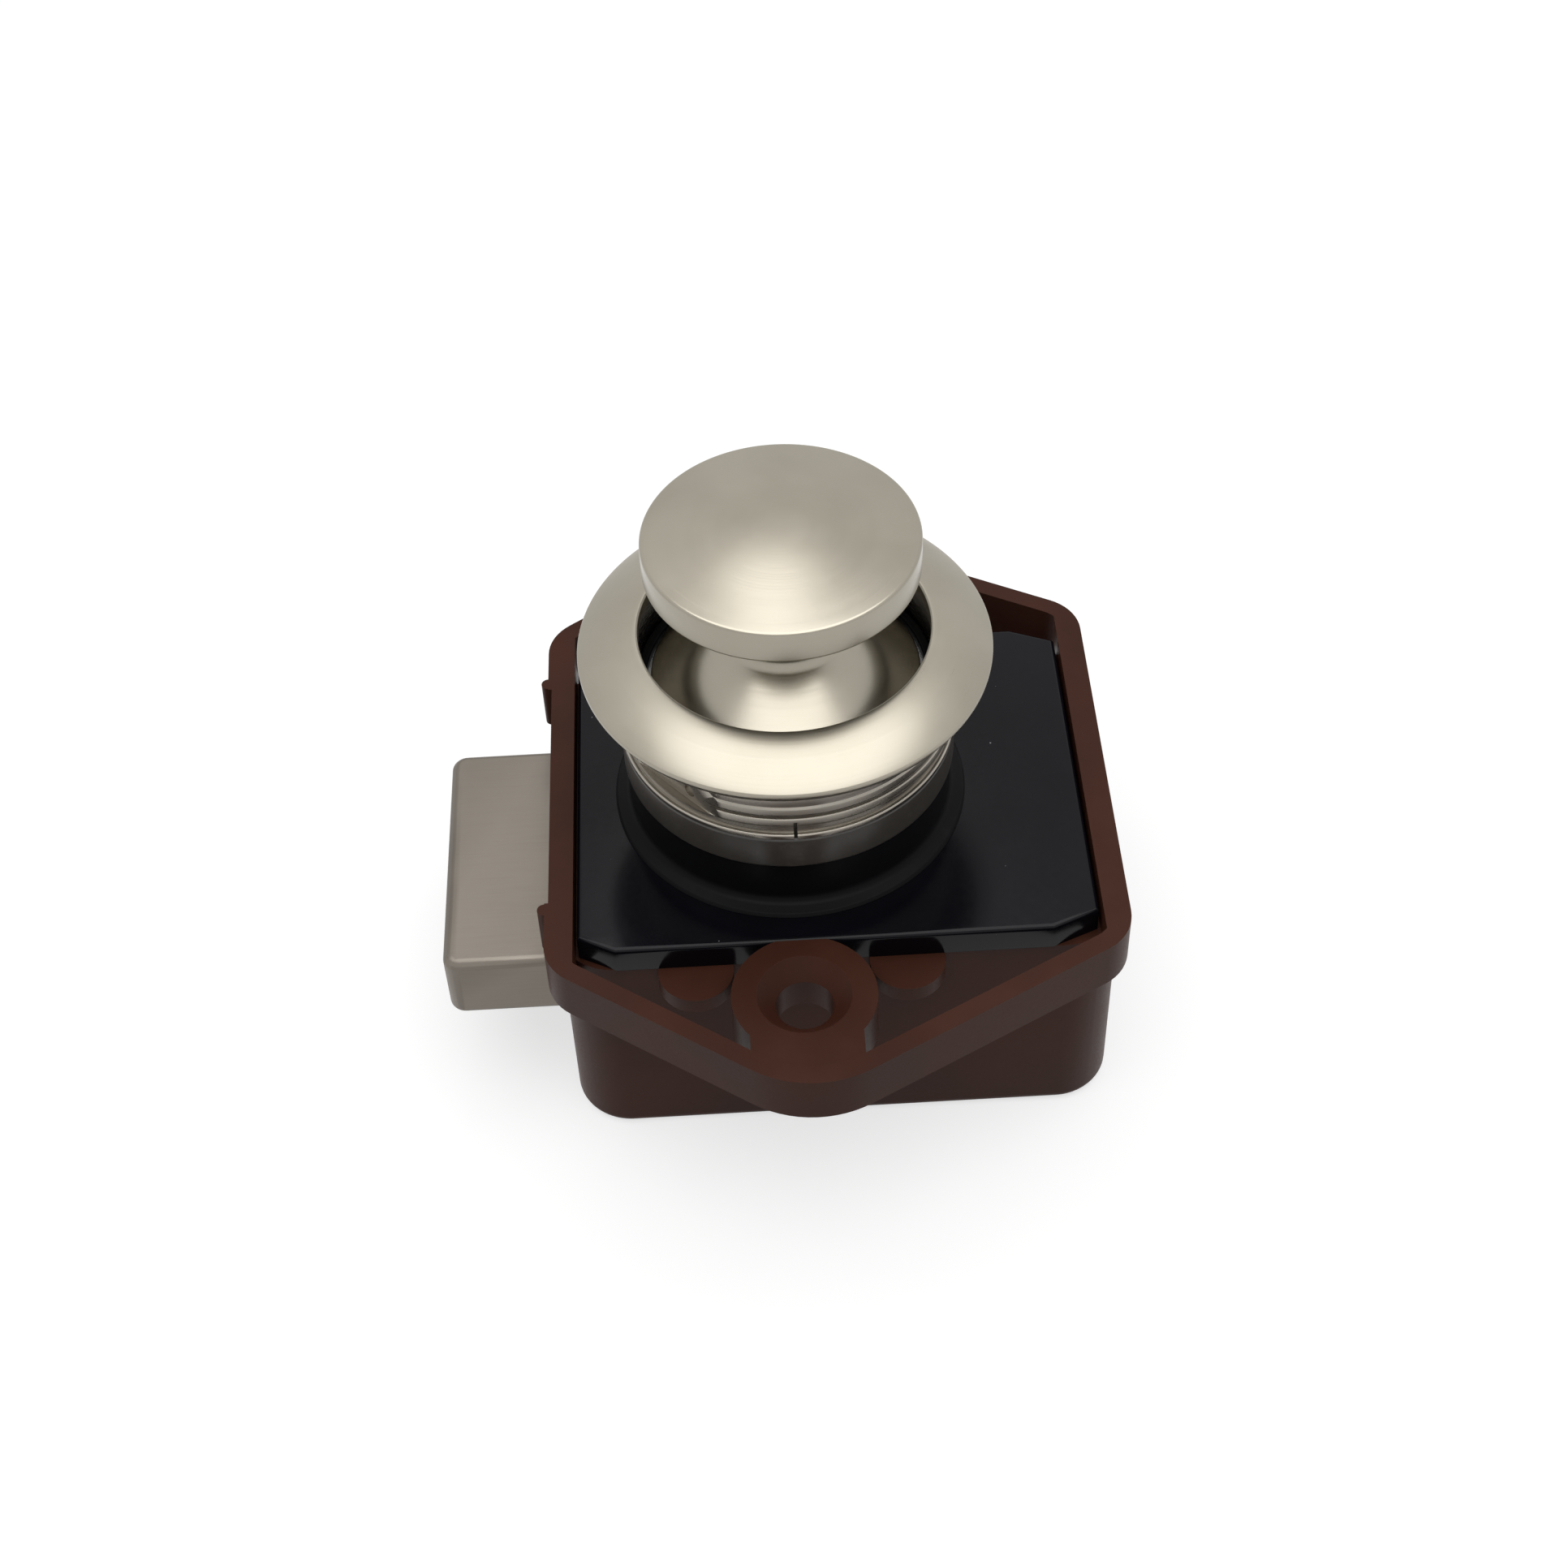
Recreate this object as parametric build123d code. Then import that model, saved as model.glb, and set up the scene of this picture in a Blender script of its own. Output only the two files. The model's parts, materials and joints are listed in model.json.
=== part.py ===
from build123d import *
import os

os.makedirs("parts", exist_ok=True)

# Push button cabinet lock, all lengths in millimetres.
# The origin lies on the knob axis in the plane of the case rim, which bears on the inside of the door.
# The knob points up along +Z, the bolt leaves the case along -X, and the two fixing screws stand along Y.

# Fits shared by several pieces
running_gap = 0.05
open_gap = 0.5
cut_overrun = 1.0

# Travel of the knob and the bolt
travel = 9.0

# Case: the six-sided flange that bears on the door
case_left = 19.5
case_right = 25.2
shoulder_y = 17.8
apex_y = 31.2
apex_radius = 8.5
shoulder_radius = 4.0
flange_height = 4.3
flange_wall = 1.5
rim_left = 2.2
rim_right = 2.05
side_recess = 0.3
nub_radius = 0.55
nub_inset = 0.1

# Case: the deep box that holds the mechanism
box_inset_left = 0.8
box_inset_right = 0.2
box_half_width = 16.1
case_depth = 23.3
box_corner = 4.5
box_wall = 1.6
box_floor = 1.6
box_bottom_round = 1.0
ledge_width = 3.5

# Case: screw bosses and the posts under the cover edge
screw_spacing = 42.8
boss_radius = 5.5
boss_drop = 0.3
boss_web = 4.2
screw_hole_radius = 2.2
sink_radius = 3.6
sink_depth = 1.4
lobe_radius = 2.9
lobe_x = 8.1
lobe_out = 0.5

# Cover plate
cover_drop = 0.5
cover_thickness = 2.4
cover_edge_gap = 0.25
cover_half_width = 16.2
cover_chamfer_left = 2.9
cover_chamfer_right = 3.6
cover_chamfer_y = 1.5
cover_edge_round = 0.4

# Cover fixing: four screws from the back into posts on the cover
post_radius = 1.6
post_length = 6.0
post_x_left = 14.0
post_x_right = 20.2
post_y = 13.8
fixing_radius = 1.0
fixing_length = 12.0
fixing_grip = 4.0
fixing_head_radius = 1.7
fixing_head_height = 1.2
recess_arm = 1.9
recess_width = 0.5
recess_depth = 0.6
counterbore_gap = 0.1

# Collar that carries the rosette and guides the plunger
bore_radius = 10.7
collar_shoulder_z = 4.3
collar_radius = 12.6
collar_foot_radius = 14.0
collar_foot_height = 0.7
collar_top_z = 12.1
collar_edge_round = 0.3
collar_wall = 0.75
collar_skirt_wall = 0.5
shelf_radius = 6.2
shelf_thickness = 1.2

# Adjusting ring between the collar shoulder and the rosette sleeve
ring_height = 3.2
ring_radius = 12.95
ring_chamfer = 0.35

# Rosette: the flange outside the door and the ribbed sleeve in the door hole
sleeve_radius = 13.0
rosette_radius = 15.7
door_gap = 14.4
rosette_edge = 1.0
rosette_edge_round = 0.35
rosette_rise = 1.9
rosette_crown = 0.22
lip_radius = 11.0
lip_depth = 1.1
lip_chamfer = 0.45
rib_depth = 0.4
lower_ring_height = 1.05
lower_ring_bevel = 0.3
middle_rib_height = 0.85
upper_rib_height = 2.1
rib_groove = 0.3
slot_width = 0.35
dimple_radius = 0.5
dimple_depth = 0.25
dimple_z = 11.6
flat_depth = 0.95
flat_angle = 47.5

# Knob: disc, waist and flared foot
disc_radius = 10.3
disc_bottom_z = 23.4
disc_rim = 2.8
disc_dome = 0.8
disc_edge_round = 0.35
waist_radius = 4.0
waist_fillet = 0.8
foot_radius = 10.3
foot_height = 2.0
foot_cone_top_z = 17.0

# Plunger: guide flange, stem and wedge
guide_height = 3.0
guide_wall = 0.95
guide_roof = 0.9
stem_radius = 4.3
stem_end_z = 2.2
wedge_back = 4.0
wedge_front = 4.2
wedge_half_width = 3.5
wedge_top_z = -2.0
wedge_tip = 1.2
wedge_edge_round = 0.4

# Stud and cross pin that join the knob to the plunger
stud_radius = 2.0
stud_in_knob = 6.0
stud_in_plunger = 7.4
pin_radius = 0.8
pin_z = 6.0
pin_inset = 0.2

# Snap ring that stops the plunger at the top of its travel
snap_height = 0.8
snap_groove = 0.4
snap_overlap = 0.3
snap_slit = 2.4

# Bolt
bolt_half_width = 11.45
bolt_thickness = 6.8
bolt_top_z = -7.1
bolt_reach = 28.3
bolt_tail_x = 8.6
bolt_shoulder_x = 5.0
bolt_ear = 1.45
bolt_corner_round = 1.3
bolt_top_chamfer = 0.5
bolt_bottom_chamfer = 0.9
window_gap = 0.4
ear_gap = 0.1

# Springs, seat washer and pegs
knob_spring_radius = 7.95
knob_spring_wire = 0.7
washer_thickness = 0.4
washer_gap = 0.1
washer_overlap = 0.2
bolt_spring_radius = 2.2
bolt_spring_wire = 0.5
bolt_spring_y = 6.0
spring_bore_gap = 0.4
spring_bore_depth = 5.0
peg_gap = 0.4
peg_length = 1.5
peg_chamfer = 0.3

# Levels and faces worked out from the sizes above
cover_top_z = -cover_drop
cover_bottom_z = cover_top_z - cover_thickness
box_left_x = -case_left + box_inset_left
box_right_x = case_right - box_inset_right
floor_z = -case_depth + box_floor
bolt_bottom_z = bolt_top_z - bolt_thickness
bolt_middle_z = (bolt_top_z + bolt_bottom_z) / 2
channel_half = bolt_half_width + running_gap
ledge_z = bolt_bottom_z - running_gap
boss_y = screw_spacing / 2
sleeve_bottom_z = collar_shoulder_z + ring_height
lower_ring_top_z = sleeve_bottom_z + lower_ring_height
spigot_radius = bore_radius + collar_wall
guide_radius = bore_radius - running_gap
snap_top_z = collar_top_z - collar_wall + running_gap
snap_bottom_z = snap_top_z - snap_height
guide_top_z = snap_bottom_z - running_gap
guide_bottom_z = guide_top_z - guide_height
disc_rim_z = disc_bottom_z + disc_rim
rosette_top_z = door_gap + rosette_edge + rosette_rise
collar_bottom_z = bolt_top_z + running_gap
shelf_top_z = collar_bottom_z + shelf_thickness
washer_top_z = shelf_top_z + washer_thickness
wedge_rise = wedge_back + wedge_front - wedge_tip
wedge_bottom_z = wedge_top_z - wedge_rise
channel_end_x = bolt_tail_x + travel + ear_gap
post_end_z = cover_bottom_z - post_length
fixing_seat_z = post_end_z + fixing_grip - fixing_length


def rod(radius, bottom, top, x=0, y=0):
    """Upright cylinder between two levels."""
    return Pos(x, y, bottom) * Cylinder(radius, top - bottom, align=(Align.CENTER, Align.CENTER, Align.MIN))


def block(x_range, y_range, z_range):
    """Box between two values on each axis."""
    size = [pair[1] - pair[0] for pair in (x_range, y_range, z_range)]
    corner = Pos(x_range[0], y_range[0], z_range[0])
    return corner * Box(*size, align=(Align.MIN, Align.MIN, Align.MIN))


def crown(radius, rise):
    """Height of a round crown halfway between its middle and its edge."""
    sphere = (radius ** 2 + rise ** 2) / (2 * rise)
    return (sphere ** 2 - (radius / 2) ** 2) ** 0.5 - sphere + rise


def turned(points):
    """Solid of revolution about the knob axis from (radius, level) points."""
    profile = make_face(Plane.XZ * Polyline(*points, close=True))
    return revolve(profile, Axis.Z)


def flange_outline(inset):
    """Six-sided plan of the case flange, drawn in by a wall, with its corners rounded."""
    corners = [
        (-case_left, -shoulder_y),
        (0, -apex_y),
        (case_right, -shoulder_y),
        (case_right, shoulder_y),
        (0, apex_y),
        (-case_left, shoulder_y),
    ]
    plan = make_face(Polyline(*corners, close=True))
    apexes = [v for v in plan.vertices() if abs(v.X) < flange_wall]
    plan = fillet(apexes, apex_radius)
    shoulders = [v for v in plan.vertices() if abs(v.X) > case_left - flange_wall]
    plan = fillet(shoulders, shoulder_radius)
    if inset > 0:
        plan = offset(plan, amount=-inset)
    return plan


def case_flange():
    """Flange with its rim, its pockets open right through at both ends and its left side recess."""
    body = Pos(0, 0, -flange_height) * extrude(flange_outline(0), flange_height)
    levels = (-flange_height - cut_overrun, cut_overrun)
    pocket = Pos(0, 0, levels[0]) * extrude(flange_outline(flange_wall), levels[1] - levels[0])
    inner = block((-case_left + rim_left, case_right - rim_right), (-apex_y, apex_y), levels)
    body -= pocket & inner
    body -= block(
        (-case_left - cut_overrun, -case_left + side_recess),
        (-channel_half, channel_half),
        levels,
    )
    for side in (-1, 1):
        nub_y = side * (channel_half + nub_radius + nub_inset)
        body += rod(nub_radius, -flange_height, 0, -case_left, nub_y)
    return body


def case_box():
    """Solid block of the deep box, rounded at its corners and round its bottom."""
    width = box_right_x - box_left_x
    middle = (box_right_x + box_left_x) / 2
    plan = RectangleRounded(width, 2 * box_half_width, box_corner)
    body = Pos(middle, 0, -case_depth) * extrude(plan, case_depth + cover_bottom_z)
    bottom = body.edges().group_by(Axis.Z)[0]
    return fillet(bottom, box_bottom_round)


def screw_boss(side):
    """Boss at one apex, with the web that ties it to the apex wall."""
    y = side * boss_y
    top = -boss_drop
    web = block((-boss_web, boss_web), sorted((y, side * apex_y)), (-flange_height, top))
    plan = Pos(0, 0, -flange_height) * extrude(flange_outline(0), flange_height)
    return rod(boss_radius, -flange_height, top, 0, y) + (web & plan)


def screw_hole(side):
    """Countersunk hole of one boss."""
    y = side * boss_y
    top = -boss_drop
    hole = rod(screw_hole_radius, -flange_height - cut_overrun, cut_overrun, 0, y)
    cone = Cone(screw_hole_radius, sink_radius, sink_depth, align=(Align.CENTER, Align.CENTER, Align.MAX))
    hole += Pos(0, y, top) * cone
    hole += rod(sink_radius, top, cut_overrun, 0, y)
    return hole


def cover_seat():
    """Room for the cover above the box walls, cut into the bosses too."""
    return block(
        (-case_left + rim_left, case_right - rim_right),
        (-cover_half_width - running_gap, cover_half_width + running_gap),
        (cover_bottom_z, cut_overrun),
    )


def mechanism_cavity():
    """Room in the box: the bolt channel, its wider part for the ears, and the trough for the wedge."""
    inner_left = box_left_x + box_wall
    inner_right = box_right_x - box_wall
    levels = (ledge_z, cover_bottom_z + cut_overrun)
    room = block((inner_left, inner_right), (-channel_half, channel_half), levels)
    ear_half = channel_half + bolt_ear
    room += block((bolt_shoulder_x - running_gap, channel_end_x), (-ear_half, ear_half), levels)
    trough_half = channel_half - ledge_width
    room += block((inner_left, inner_right), (-trough_half, trough_half), (floor_z, ledge_z + cut_overrun))
    room += block(
        (-case_left - cut_overrun, inner_left + cut_overrun),
        (-channel_half, channel_half),
        (ledge_z, bolt_top_z + running_gap),
    )
    return room


def post_places():
    """Plan places of the four cover posts and their screws."""
    return [(x, side * post_y) for x in (-post_x_left, post_x_right) for side in (-1, 1)]


def fixing_room():
    """Pockets for the cover posts, holes for their screws and counterbores in the back."""
    room = None
    for x, y in post_places():
        hole = rod(post_radius + running_gap, post_end_z - running_gap, cover_bottom_z + cut_overrun, x, y)
        hole += rod(fixing_radius + running_gap, fixing_seat_z - running_gap, post_end_z, x, y)
        hole += rod(fixing_head_radius + counterbore_gap, -case_depth - cut_overrun, fixing_seat_z, x, y)
        room = hole if room is None else room + hole
    return room


def spring_peg(side):
    """Peg on the right wall that centres one bolt spring."""
    radius = bolt_spring_radius - bolt_spring_wire - peg_gap
    peg = Cylinder(radius, peg_length, align=(Align.CENTER, Align.CENTER, Align.MIN))
    peg = chamfer(peg.edges().group_by(Axis.Z)[-1], peg_chamfer)
    place = Plane(origin=(box_right_x - box_wall, side * bolt_spring_y, bolt_middle_z), z_dir=(-1, 0, 0))
    return place * peg


def housing():
    """Moulded case."""
    body = case_flange() + case_box()
    for side in (-1, 1):
        body += screw_boss(side)
        for x in (-lobe_x, lobe_x):
            body += rod(lobe_radius, -flange_height, cover_bottom_z, x, side * (box_half_width + lobe_out))
    body -= cover_seat()
    body -= mechanism_cavity()
    body -= fixing_room()
    for side in (-1, 1):
        body -= screw_hole(side)
        body += spring_peg(side)
    return body


def cover_plate():
    """Black cover with cut corners, its round opening and four posts underneath."""
    left = -case_left + rim_left + cover_edge_gap
    right = case_right - rim_right - cover_edge_gap
    front = cover_half_width
    cut = cover_half_width - cover_chamfer_y
    corners = [
        (left + cover_chamfer_left, -front),
        (right - cover_chamfer_right, -front),
        (right, -cut),
        (right, cut),
        (right - cover_chamfer_right, front),
        (left + cover_chamfer_left, front),
        (left, cut),
        (left, -cut),
    ]
    plan = make_face(Polyline(*corners, close=True))
    plate = Pos(0, 0, cover_bottom_z) * extrude(plan, cover_thickness)
    plate = fillet(plate.edges().group_by(Axis.Z)[-1], cover_edge_round)
    skirt_radius = bore_radius + collar_skirt_wall
    plate -= rod(skirt_radius + running_gap, cover_bottom_z - cut_overrun, cut_overrun)
    for x, y in post_places():
        plate += rod(post_radius, post_end_z, cover_bottom_z, x, y)
        plate -= rod(fixing_radius + running_gap, post_end_z - cut_overrun, cover_bottom_z - running_gap, x, y)
    return plate


def cover_screws():
    """Four pan head screws that draw the cover into the case."""
    head_bottom = fixing_seat_z - fixing_head_height
    screws = []
    for x, y in post_places():
        screw = rod(fixing_radius, fixing_seat_z, fixing_seat_z + fixing_length, x, y)
        screw += rod(fixing_head_radius, head_bottom, fixing_seat_z, x, y)
        slot = Box(recess_arm, recess_width, recess_depth, align=(Align.CENTER, Align.CENTER, Align.MIN))
        screw -= Pos(x, y, head_bottom) * slot
        screw -= Pos(x, y, head_bottom) * Rot(0, 0, 90) * slot
        screws.append(screw)
    return Compound(children=screws)


def collar():
    """Turned plastic bush: foot on the cover, shoulder, spigot, guide bore and spring shelf."""
    skirt_radius = bore_radius + collar_skirt_wall
    groove_radius = bore_radius + snap_groove
    foot_top = cover_top_z + collar_foot_height
    points = [
        (shelf_radius, collar_bottom_z),
        (skirt_radius, collar_bottom_z),
        (skirt_radius, cover_top_z),
        (collar_foot_radius, cover_top_z),
        (collar_radius + collar_edge_round, foot_top),
        (collar_radius, foot_top + collar_edge_round),
        (collar_radius, collar_shoulder_z),
        (spigot_radius, collar_shoulder_z),
        (spigot_radius, collar_top_z),
        (bore_radius, collar_top_z),
        (bore_radius, snap_top_z + running_gap),
        (groove_radius, snap_top_z + running_gap),
        (groove_radius, snap_bottom_z - running_gap),
        (bore_radius, snap_bottom_z - running_gap),
        (bore_radius, shelf_top_z),
        (shelf_radius, shelf_top_z),
    ]
    return turned(points)


def adjusting_ring():
    """Ring on the collar spigot under the rosette sleeve."""
    inner = spigot_radius + running_gap
    points = [
        (inner, collar_shoulder_z),
        (ring_radius - ring_chamfer, collar_shoulder_z),
        (ring_radius, collar_shoulder_z + ring_chamfer),
        (ring_radius, sleeve_bottom_z - ring_chamfer),
        (ring_radius - ring_chamfer, sleeve_bottom_z),
        (inner, sleeve_bottom_z),
    ]
    return turned(points)


def rib_points():
    """Outside of the sleeve from its lower ring up to the flange."""
    root = sleeve_radius - rib_depth
    middle_bottom = lower_ring_top_z + rib_groove
    middle_top = middle_bottom + middle_rib_height
    upper_bottom = middle_top + rib_groove
    upper_top = upper_bottom + upper_rib_height
    return [
        (sleeve_radius, sleeve_bottom_z),
        (sleeve_radius, lower_ring_top_z - lower_ring_bevel),
        (sleeve_radius - lower_ring_bevel, lower_ring_top_z),
        (root, lower_ring_top_z + rib_groove / 2),
        (sleeve_radius, middle_bottom),
        (sleeve_radius, middle_top),
        (root, middle_top + rib_groove / 2),
        (sleeve_radius, upper_bottom),
        (sleeve_radius, upper_top),
        (root, upper_top + rib_groove / 2),
        (root, door_gap),
    ]


def sleeve_flats():
    """Two flats above the lower ring, and the dimple on the one at the left front."""
    out = sleeve_radius - flat_depth
    slab = block(
        (-rosette_radius, rosette_radius),
        (-rosette_radius, -out),
        (lower_ring_top_z, door_gap),
    )
    dimple = Pos(0, -out, dimple_z) * Rot(90, 0, 0) * Cylinder(dimple_radius, 2 * dimple_depth)
    front = slab + dimple
    back = Rot(0, 0, 180) * slab
    return Rot(0, 0, -flat_angle) * (front + back)


def rosette():
    """Flange with a crowned top and a thin lip, on a ribbed sleeve with two flats and a slot."""
    bore = spigot_radius + running_gap
    lip_bottom = rosette_top_z - lip_depth
    edge_top = door_gap + rosette_edge
    outer = rosette_radius - rosette_edge_round
    start = (lip_radius + lip_chamfer, rosette_top_z)
    end = (outer, edge_top)
    middle = ((start[0] + end[0]) / 2 + rosette_crown, (start[1] + end[1]) / 2 + rosette_crown)
    inside = [
        start,
        (lip_radius, rosette_top_z - lip_chamfer),
        (lip_radius, lip_bottom),
        (bore, lip_bottom - (bore - lip_radius)),
        (bore, sleeve_bottom_z),
    ]
    outside = rib_points() + [
        (outer, door_gap),
        (rosette_radius, door_gap + rosette_edge_round),
        (rosette_radius, edge_top - rosette_edge_round),
        end,
    ]
    edge = Polyline(*inside, *outside) + ThreePointArc(end, middle, start)
    body = revolve(make_face(Plane.XZ * edge), Axis.Z)
    body -= block(
        (-slot_width / 2, slot_width / 2),
        (-sleeve_radius - cut_overrun, -bore + running_gap),
        (sleeve_bottom_z - cut_overrun, lower_ring_top_z + middle_rib_height),
    )
    return body - sleeve_flats()


def knob():
    """Spool-shaped knob: domed disc, waist and conical foot, bored for the stud."""
    foot_top = guide_top_z + foot_height
    crown_radius = disc_radius - disc_edge_round
    crown_edge = (crown_radius, disc_rim_z)
    crown_middle = (crown_radius / 2, disc_rim_z + crown(crown_radius, disc_dome))
    crown_top = (0, disc_rim_z + disc_dome)
    side = Polyline(
        (0, disc_rim_z + disc_dome),
        (0, guide_top_z),
        (foot_radius, guide_top_z),
        (foot_radius, foot_top),
        (waist_radius, foot_cone_top_z),
        (waist_radius, disc_bottom_z - waist_fillet),
        (waist_radius + waist_fillet, disc_bottom_z),
        (crown_radius, disc_bottom_z),
        (disc_radius, disc_bottom_z + disc_edge_round),
        (disc_radius, disc_rim_z - disc_edge_round),
        crown_edge,
    )
    edge = side + ThreePointArc(crown_edge, crown_middle, crown_top)
    body = revolve(make_face(Plane.XZ * edge), Axis.Z)
    return body - rod(stud_radius + running_gap, guide_top_z - cut_overrun, guide_top_z + stud_in_knob + running_gap)


def knob_stud():
    """Stud from the knob into the plunger, cross-drilled for the pin."""
    body = rod(stud_radius, guide_top_z - stud_in_plunger, guide_top_z + stud_in_knob)
    return body - pin_solid(pin_radius + running_gap, stem_radius + cut_overrun)


def pin_solid(radius, half_length):
    """Lying cylinder through the stem along Y."""
    return Pos(0, 0, pin_z) * Rot(90, 0, 0) * Cylinder(radius, 2 * half_length)


def cross_pin():
    """Pin that locks the stud in the stem, a little short of the stem at both ends."""
    return pin_solid(pin_radius, stem_radius - pin_inset)


def wedge():
    """Block under the stem with the 45 degree face that drives the bolt."""
    outline = [
        (-wedge_back, stem_end_z),
        (-wedge_back, wedge_bottom_z),
        (-wedge_back + wedge_tip, wedge_bottom_z),
        (wedge_front, wedge_top_z),
        (wedge_front, stem_end_z),
    ]
    profile = make_face(Plane.XZ * Polyline(*outline, close=True))
    body = extrude(profile, wedge_half_width, both=True)
    upright = body.edges().filter_by(Axis.Z)
    return fillet(upright, wedge_edge_round)


def plunger():
    """Sliding piece under the knob: guide flange with a spring pocket, stem and wedge."""
    flange = rod(guide_radius, guide_bottom_z, guide_top_z)
    flange -= rod(guide_radius - guide_wall, guide_bottom_z - cut_overrun, guide_top_z - guide_roof)
    body = flange + rod(stem_radius, stem_end_z, guide_top_z - guide_roof) + wedge()
    bore_end = guide_top_z - stud_in_plunger - running_gap
    body -= rod(stud_radius + running_gap, bore_end, guide_top_z + cut_overrun)
    return body - pin_solid(pin_radius + running_gap, stem_radius + cut_overrun)


def snap_ring():
    """Open ring in the groove of the collar bore."""
    outer = bore_radius + snap_groove - running_gap
    body = rod(outer, snap_bottom_z, snap_top_z)
    body -= rod(bore_radius - snap_overlap - running_gap, snap_bottom_z - cut_overrun, snap_top_z + cut_overrun)
    half = snap_slit / 2
    return body - block((-half, half), (0, outer + cut_overrun), (snap_bottom_z - cut_overrun, snap_top_z + cut_overrun))


def bolt_window():
    """Opening in the bolt for the wedge, with the inclined face that the wedge pushes."""
    half = wedge_half_width + window_gap
    back = -wedge_back - travel - open_gap
    slope = wedge_front - wedge_top_z + running_gap * 2 ** 0.5
    top = bolt_top_z + cut_overrun
    bottom = bolt_bottom_z - cut_overrun
    outline = [(back, bottom), (bottom + slope, bottom), (top + slope, top), (back, top)]
    profile = make_face(Plane.XZ * Polyline(*outline, close=True))
    return extrude(profile, half, both=True)


def bolt():
    """Latch bolt with a bevelled nose, a window for the wedge, ears and two spring bores."""
    body = block((-bolt_reach, bolt_tail_x), (-bolt_half_width, bolt_half_width), (bolt_bottom_z, bolt_top_z))
    nose_uprights = body.edges().filter_by(Axis.Z).group_by(Axis.X)[0]
    body = fillet(nose_uprights, bolt_corner_round)
    nose_edges = body.faces().sort_by(Axis.X)[0].edges().filter_by(Axis.Y)
    body = chamfer(nose_edges.sort_by(Axis.Z)[-1], bolt_top_chamfer)
    nose_edges = body.faces().sort_by(Axis.X)[0].edges().filter_by(Axis.Y)
    body = chamfer(nose_edges.sort_by(Axis.Z)[0], bolt_bottom_chamfer)
    ear_half = bolt_half_width + bolt_ear
    body += block((bolt_shoulder_x, bolt_tail_x), (-ear_half, ear_half), (bolt_bottom_z, bolt_top_z))
    body -= bolt_window()
    place_x = bolt_tail_x - spring_bore_depth
    for side in (-1, 1):
        place = Plane(origin=(place_x, side * bolt_spring_y, bolt_middle_z), z_dir=(1, 0, 0))
        radius = bolt_spring_radius + spring_bore_gap
        depth = spring_bore_depth + cut_overrun
        body -= place * Cylinder(radius, depth, align=(Align.CENTER, Align.CENTER, Align.MIN))
    return body


def bolt_spring(side):
    """Compression spring from the bore in the bolt to the peg, drawn as its outer tube."""
    start = bolt_tail_x - spring_bore_depth
    length = box_right_x - box_wall - start
    place = Plane(origin=(start, side * bolt_spring_y, bolt_middle_z), z_dir=(1, 0, 0))
    tube = Cylinder(bolt_spring_radius, length, align=(Align.CENTER, Align.CENTER, Align.MIN))
    inner = Cylinder(bolt_spring_radius - bolt_spring_wire, length, align=(Align.CENTER, Align.CENTER, Align.MIN))
    return place * (tube - inner)


def knob_spring():
    """Compression spring between the seat washer and the plunger, drawn as its outer tube."""
    top = guide_top_z - guide_roof
    body = rod(knob_spring_radius, washer_top_z, top)
    return body - rod(knob_spring_radius - knob_spring_wire, washer_top_z - cut_overrun, top + cut_overrun)


def spring_washer():
    """Flat steel washer on the collar shelf."""
    body = rod(bore_radius - washer_gap, shelf_top_z, washer_top_z)
    return body - rod(shelf_radius + washer_overlap, shelf_top_z - cut_overrun, washer_top_z + cut_overrun)


nodes = {
    "housing": housing(),
    "cover_plate": cover_plate(),
    "cover_screws": cover_screws(),
    "collar": collar(),
    "adjusting_ring": adjusting_ring(),
    "snap_ring": snap_ring(),
    "rosette": rosette(),
    "spring_washer": spring_washer(),
    "knob": knob(),
    "knob_stud": knob_stud(),
    "cross_pin": cross_pin(),
    "plunger": plunger(),
    "knob_spring": knob_spring(),
    "bolt": bolt(),
    "bolt_spring_front": bolt_spring(-1),
    "bolt_spring_back": bolt_spring(1),
}

for name, shape in nodes.items():
    export_step(shape, f"parts/{name}.step")
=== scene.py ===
"""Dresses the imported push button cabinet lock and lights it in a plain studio.

The sizes in the classes are in millimetres, as in the part's source. Every mesh is made in metres,
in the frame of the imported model: +Z points along the knob axis and the bolt leaves along -X.
"""

import json
import logging
import math
from dataclasses import dataclass, replace
from enum import Enum
from typing import Callable, Sequence

import bpy
from mathutils import Matrix, Vector

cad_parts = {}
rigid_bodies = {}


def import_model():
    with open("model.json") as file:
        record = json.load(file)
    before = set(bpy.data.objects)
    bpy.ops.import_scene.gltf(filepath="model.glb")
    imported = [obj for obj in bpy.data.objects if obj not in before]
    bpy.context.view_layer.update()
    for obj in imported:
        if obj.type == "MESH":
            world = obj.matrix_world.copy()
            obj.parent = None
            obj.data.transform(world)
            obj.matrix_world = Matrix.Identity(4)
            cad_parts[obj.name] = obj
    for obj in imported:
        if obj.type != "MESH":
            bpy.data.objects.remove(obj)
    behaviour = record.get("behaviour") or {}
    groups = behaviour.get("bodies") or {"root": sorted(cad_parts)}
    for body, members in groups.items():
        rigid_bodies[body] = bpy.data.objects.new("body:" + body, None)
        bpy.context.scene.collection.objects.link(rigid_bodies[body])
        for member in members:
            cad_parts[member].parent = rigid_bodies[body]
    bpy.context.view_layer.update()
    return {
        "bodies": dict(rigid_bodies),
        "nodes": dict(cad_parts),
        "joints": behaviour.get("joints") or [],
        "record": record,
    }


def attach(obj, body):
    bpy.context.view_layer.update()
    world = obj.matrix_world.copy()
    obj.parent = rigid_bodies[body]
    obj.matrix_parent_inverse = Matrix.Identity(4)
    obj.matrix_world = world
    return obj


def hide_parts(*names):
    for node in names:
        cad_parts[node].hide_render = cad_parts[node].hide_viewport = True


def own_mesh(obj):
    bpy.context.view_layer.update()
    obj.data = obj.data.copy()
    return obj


MM = 0.001
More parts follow.
